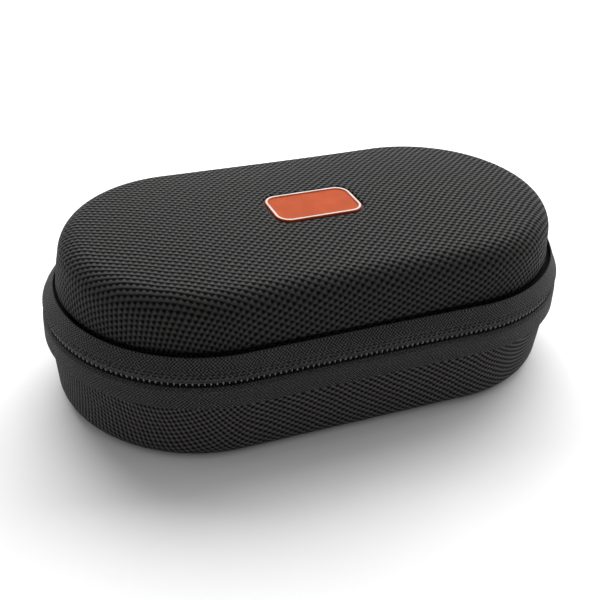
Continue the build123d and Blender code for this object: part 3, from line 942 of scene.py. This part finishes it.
def tape_relief(up, outer_count):
    """A low roll over the coil with a bump at each tooth, a crease beyond it, and slow waves."""
    bump, fold = (UPPER_BUMP, UPPER_CREASE) if up > 0 else (LOWER_BUMP, LOWER_CREASE)

    def relief(ways, section):
        z = np.abs(section[:, 1] - zip_z)
        face = np.arange(len(section)) < outer_count
        roll = bell(z, COIL_ROLL, COIL_ROLL_HALF, 4) * face
        crease = bell(z, CREASE, CREASE_HALF) * face
        phase = np.cos(2 * pi * (ways[:, None] / TOOTH_PITCH + STITCH_SLANT * z[None, :]))
        slow = LONG_WAVE * np.sin(ways / LONG_WAY)
        slow += SHORT_WAVE * np.sin(ways / SHORT_WAY + z.mean())
        moved = bump * roll * (phase - 1) / 2 - fold * crease + slow[:, None] * face
        if up < 0:
            return moved, np.zeros_like(moved)
        share = np.clip((z - LEAN_FROM) / (TAPE_UP - LEAN_FROM), 0, 1) ** LEAN_POWER
        stands = sum(far * bell(ways, middle, width) for middle, width, far in STAND_OFF)
        off = stands[:, None] * share
        return moved + off, LEAN_LIFT * off

    return relief


def tape(name, points, up, first, last):
    section, outer_count = tape_section(points, up)
    ways = along(first, last, TOOTH_PITCH / STEPS_A_TOOTH)
    obj = carried(name, section, ways, relief=tape_relief(up, outer_count))
    paint(obj, upper_twill if up > 0 else lower_twill)
    return obj


# Where the tapes stop beside the fabric hinge: to its right, and to its left after the way round
hinge_right = back_x(hinge_half + JOIN_GAP) - ring_length
hinge_left = back_x(-hinge_half - JOIN_GAP)
tape_end = COIL_START + degrees((END_TEETH + 0.5) * TOOTH_PITCH / MIDDLE)
tape_start = tape_end + degrees(JOIN_GAP / half_width)

upper_tape = tape("upper_tape", upper_points, 1, at_angle(tape_start), hinge_left)
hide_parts("upper_zip_tape")
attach(upper_tape, "lid")

lower_tape = tape("lower_tape", lower_points, -1, hinge_right, hinge_left)
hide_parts("lower_zip_tape")
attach(lower_tape, "base")

# Fabric hinge and its liner, and the tape's end that stretches when the lid opens
hinge_ways = along(back_x(-hinge_half), back_x(hinge_half), HINGE_COLUMN)
hinge_points = [
    (half_width, -TAPE_DOWN),
    (half_width, 0),
    (half_width, MOUTH_LIP),
    upper_edge,
]
hinge_outer = divided(softened(hinge_points, TAPE_ROUND, 6, closed=False), HINGE_STEP)
hinge_section = from_zip([*hinge_outer, *[(r - TAPE, z) for r, z in hinge_outer[::-1]]])
hinge_strip = carried("hinge_band", hinge_section, hinge_ways)
paint(hinge_strip, lower_twill)
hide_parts("hinge_strip")

(_, liner_inside, liner_low), (_, liner_outside, liner_high) = box("hinge_liner")
liner_line = [
    (liner_inside, liner_low),
    (liner_outside, liner_low),
    (liner_outside, liner_high),
    (liner_inside, liner_high),
]
liner_section = divided(softened(liner_line, 0.25, 4), HINGE_STEP, closed=True)
hinge_liner = carried("hinge_inner", liner_section, hinge_ways)
paint(hinge_liner, edge_tape)
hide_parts("hinge_liner")

upper_end = tape("upper_tape_tail", upper_points, 1, hinge_right, at_angle(tape_end))
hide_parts("upper_tape_end")

for obj, reach in ((hinge_strip, FOLD), (hinge_liner, LINER_FOLD)):
    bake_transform(obj)

# The tape's end keeps its place, with its transform baked into its mesh
centre, out_x, _ = ring(at_angle(tape_end))
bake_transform(upper_end)

# Welts in the seams between the tapes and the walls; the lid's follows the middle of its tape
WELT_ROUND = 0.5
BASE_WELT_ROUND = 0.4
BASE_WELT_LIFT = 0.4
ledge = NECK_HEIGHT + SHOULDER
foot = NECK_HEIGHT + SHOULDER / 2
welt_r = NECK - 0.2
tape_heights, tape_places = (MOUTH_LIP, upper_edge[1]), (half_width, upper_edge[0])
in_tape = np.interp(foot, tape_heights, tape_places) - 0.5 * TAPE
lid_welt_line = [
    (welt_r, foot),
    (in_tape, foot),
    (lid_side + 0.25, ledge),
    (welt_r, ledge - 0.1),
]
lid_welt_section = from_zip(softened(lid_welt_line, WELT_ROUND, 4))
lid_welt = carried("lid_piping", lid_welt_section, along(hinge_right, hinge_left, WELT_COLUMN))
paint(lid_welt, thread)
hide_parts("lid_welt")
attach(lid_welt, "lid")

(_, _, welt_low), (_, _, welt_high) = box("base_welt")
welt_inside, welt_outside = base_side + LAYER_GAP, half_width - TAPE - LAYER_GAP
base_welt_line = [
    (welt_inside, welt_low + BASE_WELT_LIFT),
    (welt_outside, welt_low + BASE_WELT_LIFT),
    (welt_outside, welt_high),
    (welt_inside, welt_high),
]
base_welt_section = softened(base_welt_line, BASE_WELT_ROUND, 4)
base_welt = carried("base_piping", base_welt_section, all_round(LAYER_COLUMNS), wrap=True)
paint(base_welt, thread)
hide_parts("base_welt")
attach(base_welt, "base")

# Zip coils: one filament wound round and round, a head for each tooth. A turn of it goes from the
# tape round the head and back: shift in pitches, r, height from the zip line, radius
SIDES, SIDE_WIDTH = 6, 0.3
FILAMENT = 0.26
HEAD = 0.31
TURN = [
    (-0.30, 50.45, 2.35, FILAMENT),
    (-0.06, 50.42, 1.7, FILAMENT),
    (0.0, 50.45, 0.6, FILAMENT),
    (0.0, 50.5, 0.0, HEAD),
    (0.0, 50.8, -0.3, HEAD),
    (0.0, 51.4, -0.42, HEAD),
    (0.0, 51.85, -0.3, FILAMENT),
    (0.0, 51.95, 0.4, FILAMENT),
    (0.06, 51.7, 1.7, FILAMENT),
    (0.30, 51.45, 2.35, FILAMENT),
    (0.5, 51.0, 2.55, FILAMENT),
]


def tube(name, path, radius):
    """A tube along a path, radius by point."""
    path, radius = np.array(path), np.array(radius)
    ahead = np.gradient(path, axis=0)
    ahead /= np.linalg.norm(ahead, axis=1)[:, None]
    side = np.cross(ahead[0], (0, 0, 1.0))
    frames = []
    for direction in ahead:
        side = side - direction * (side @ direction)
        side /= np.linalg.norm(side)
        frames.append((side, np.cross(direction, side)))
    frames = np.array(frames)
    turn = np.arange(SIDES) * 2 * pi / SIDES
    cosine, sine = np.cos(turn)[None, :, None], np.sin(turn)[None, :, None]
    round_it = frames[:, 0][:, None] * cosine + frames[:, 1][:, None] * sine
    points = path[:, None] + radius[:, None, None] * round_it
    length = np.concatenate([[0], np.cumsum(np.linalg.norm(np.diff(path, axis=0), axis=1))])
    uv = np.stack(np.meshgrid(length, np.arange(SIDES + 1) * SIDE_WIDTH, indexing="ij"), 2)
    return outward(grid(name, points, uv, (False, True), caps=True))


def coil(name, up, count_from, count_to, phase, made):
    """Turns by number, as on the solid coil; the phase is in pitches."""
    path, thick = [], []
    for number in range(count_from, count_to):
        middle = at_angle(COIL_START) + (number + phase) * TOOTH_PITCH
        for shift, r, height, radius in TURN:
            centre, out_x, out_y = ring(middle + shift * TOOTH_PITCH)
            path.append((float(centre + r * out_x), float(r * out_y), zip_z + up * height))
            thick.append(radius)
    obj = tube(name, path, thick)
    paint(obj, made)
    return obj


turns = int((left_angle(LEFT_COIL_START) - at_angle(COIL_START)) / TOOTH_PITCH)
# The lower coil takes the painted-shade copy of the nylon, the upper coil and its tail the
# painted-highlight copy
lower_coil = coil("lower_coil", -1, 0, turns, 0.5, painted_shade_nylon)
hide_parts("lower_zip_coil")
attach(lower_coil, "base")
upper_coil = coil("upper_coil", 1, END_TEETH, turns, 1.0, painted_lit_nylon)
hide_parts("upper_zip_coil")
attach(upper_coil, "lid")
coil_tail = coil("upper_coil_tail", 1, 0, END_TEETH, 1.0, painted_lit_nylon)
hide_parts("upper_coil_end")
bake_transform(coil_tail)


# Foam insert and lid pad
def soft_copy(node, name, voxel, passes):
    """A foam piece from its plain solid, with the edges rounded as cut foam has them."""
    obj = linked(name, nodes[node].data.copy())
    remesh = obj.modifiers.new("remesh", "REMESH")
    remesh.mode = "VOXEL"
    remesh.voxel_size = voxel * MM
    ease = obj.modifiers.new("ease", "SMOOTH")
    ease.factor = 0.5
    ease.iterations = passes
    bpy.context.view_layer.update()
    graph = bpy.context.evaluated_depsgraph_get()
    mesh = bpy.data.meshes.new_from_object(obj.evaluated_get(graph))
    obj.modifiers.clear()
    obj.data = mesh
    smooth(mesh)
    mesh.uv_layers.new(name="cloth")
    return obj


tray = soft_copy("foam_tray", "insert_tray", voxel=0.9, passes=5)
paint(tray, insert_foam)
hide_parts("foam_tray")
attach(tray, "base")

(_, _, pad_low), (_, pad_r, pad_high) = box("lid_pad")
pad_line = [
    (0, pad_high),
    (pad_r - 1.2, pad_high),
    (pad_r - 0.3, pad_high - 0.6),
    (pad_r, pad_high - 2.0),
    (pad_r - 0.9, pad_low + 2.0),
    (pad_r - 4.5, pad_low + 0.9),
    (pad_r - 12, pad_low + 0.35),
    (pad_r * 0.35, pad_low + 0.02),
    (0, pad_low),
]
pad_section = divided(softened(pad_line, 1.2, closed=False), 1.2)
pad = carried("lid_cushion", pad_section, all_round(LAYER_COLUMNS), closed=False, wrap=True)
paint(pad, inner_lining)
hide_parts("lid_pad")
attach(pad, "lid")


def badge_piece():
    """The bare badge: a flat face inside a raised rim."""
    low, high = box("badge")
    half_x, half_y, top = (high[0] - low[0]) / 2, (high[1] - low[1]) / 2, high[2]
    face_z = top - BADGE_FACE
    angle = np.linspace(0, 2 * pi, BADGE_COLUMNS, endpoint=False)
    dx, dy = np.cos(angle), np.sin(angle)
    levels = [
        (0.0, low[2]),
        (0.0, face_z),
        (-0.08, top - 0.12),
        (-0.3, top - 0.01),
        (-0.65, top),
        (-1.0, top - 0.02),
        (-1.2, top - 0.12),
        (-1.32, face_z + 0.04),
        (-1.5, face_z),
        (-2.2, face_z),
        (-4.0, face_z),
    ]

    def level(xy, z):
        return np.column_stack([xy, np.full(BADGE_COLUMNS, z)])

    rings = []
    for out, z in levels:
        reach = rounded_box_reach(dx, dy, half_x + out, half_y + out, BADGE_CORNER + out)
        rings.append(level(np.column_stack([dx * reach, dy * reach]), z))
    inner = rings[-1][:, :2]
    rings += [level(inner * share, face_z + 0.05 * (1 - share)) for share in (0.5, 0.0)]
    rings.insert(0, level(inner * 0.0, low[2]))
    points = np.stack(rings, 1)
    uv = np.concatenate([points, points[:1]])[:, :, :2]
    return outward(welded(grid("badge_plate", points, uv, wrap=(True, False))))


badge = badge_piece()
paint(badge, badge_face)
badge.data.materials.append(badge_rim)
rim_z = (box("badge")[1][2] - 0.05) * MM
for face in badge.data.polygons:
    face.material_index = int(face.center.z > rim_z)
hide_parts("badge")
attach(badge, "lid")

# Metal pieces keep their solids
for node in ("zip_slider", "slider_back_plate", "zip_pull"):
    paint(nodes[node], slider_paint)
for node in ("top_stop", "bottom_stop"):
    paint(nodes[node], stop_paint)

# Floor, in metres
bpy.ops.mesh.primitive_plane_add(size=6, location=(0, 0, 0))
floor = bpy.context.object
floor.name = "floor"
floor_paint, g = material("floor_paper", Roughness=0.9)
paper = g.noise(g.place(), scale=0.02)
colour = g.ramp(paper, (0.3, (0.88, 0.88, 0.88)), (0.7, (0.9, 0.9, 0.9)))
g.put(colour, g.shader.inputs["Base Color"])
paint(floor, floor_paint)

# Light
world = bpy.data.worlds.new("studio")
bpy.context.scene.world = world
world.use_nodes = True
background = world.node_tree.nodes["Background"]
background.inputs["Color"].default_value = (1, 1, 1, 1)
background.inputs["Strength"].default_value = 0.42


def softbox(name, place, size, power):
    """A rectangular light turned to the case."""
    light = bpy.data.lights.new(name, "AREA")
    light.shape = "RECTANGLE"
    light.size, light.size_y = size
    light.energy = power
    obj = linked(name, light)
    obj.location = place
    aim = Vector((0, 0, 0.03))
    obj.rotation_euler = (aim - Vector(place)).to_track_quat("-Z", "Y").to_euler()


softbox("overhead", place=(0.35, 0.85, 0.9), size=(2.0, 1.2), power=38)
softbox("right", place=(1.3, 0.2, 0.6), size=(0.6, 0.6), power=5)

# Camera
az, el, roll = radians(AZIMUTH), radians(ELEVATION), radians(ROLL)
back = Vector((sin(az) * cos(el), -cos(az) * cos(el), sin(el)))
right = Vector((cos(az), sin(az), 0))
above = back.cross(right)
turned_right = right * cos(roll) + above * sin(roll)
turned_up = above * cos(roll) - right * sin(roll)
eye = Vector((0, 0, zip_z)) + back * DISTANCE + turned_right * ASIDE + turned_up * ABOVE
facing = Matrix((turned_right, turned_up, back)).transposed().to_4x4()
camera = linked("camera", bpy.data.cameras.new("camera"))
camera.matrix_world = Matrix.Translation(eye * MM) @ facing
camera.data.lens = LENS
camera.data.sensor_width = SENSOR
camera.data.clip_start = 0.01
bpy.context.scene.camera = camera
bpy.context.scene.view_settings.view_transform = "Standard"
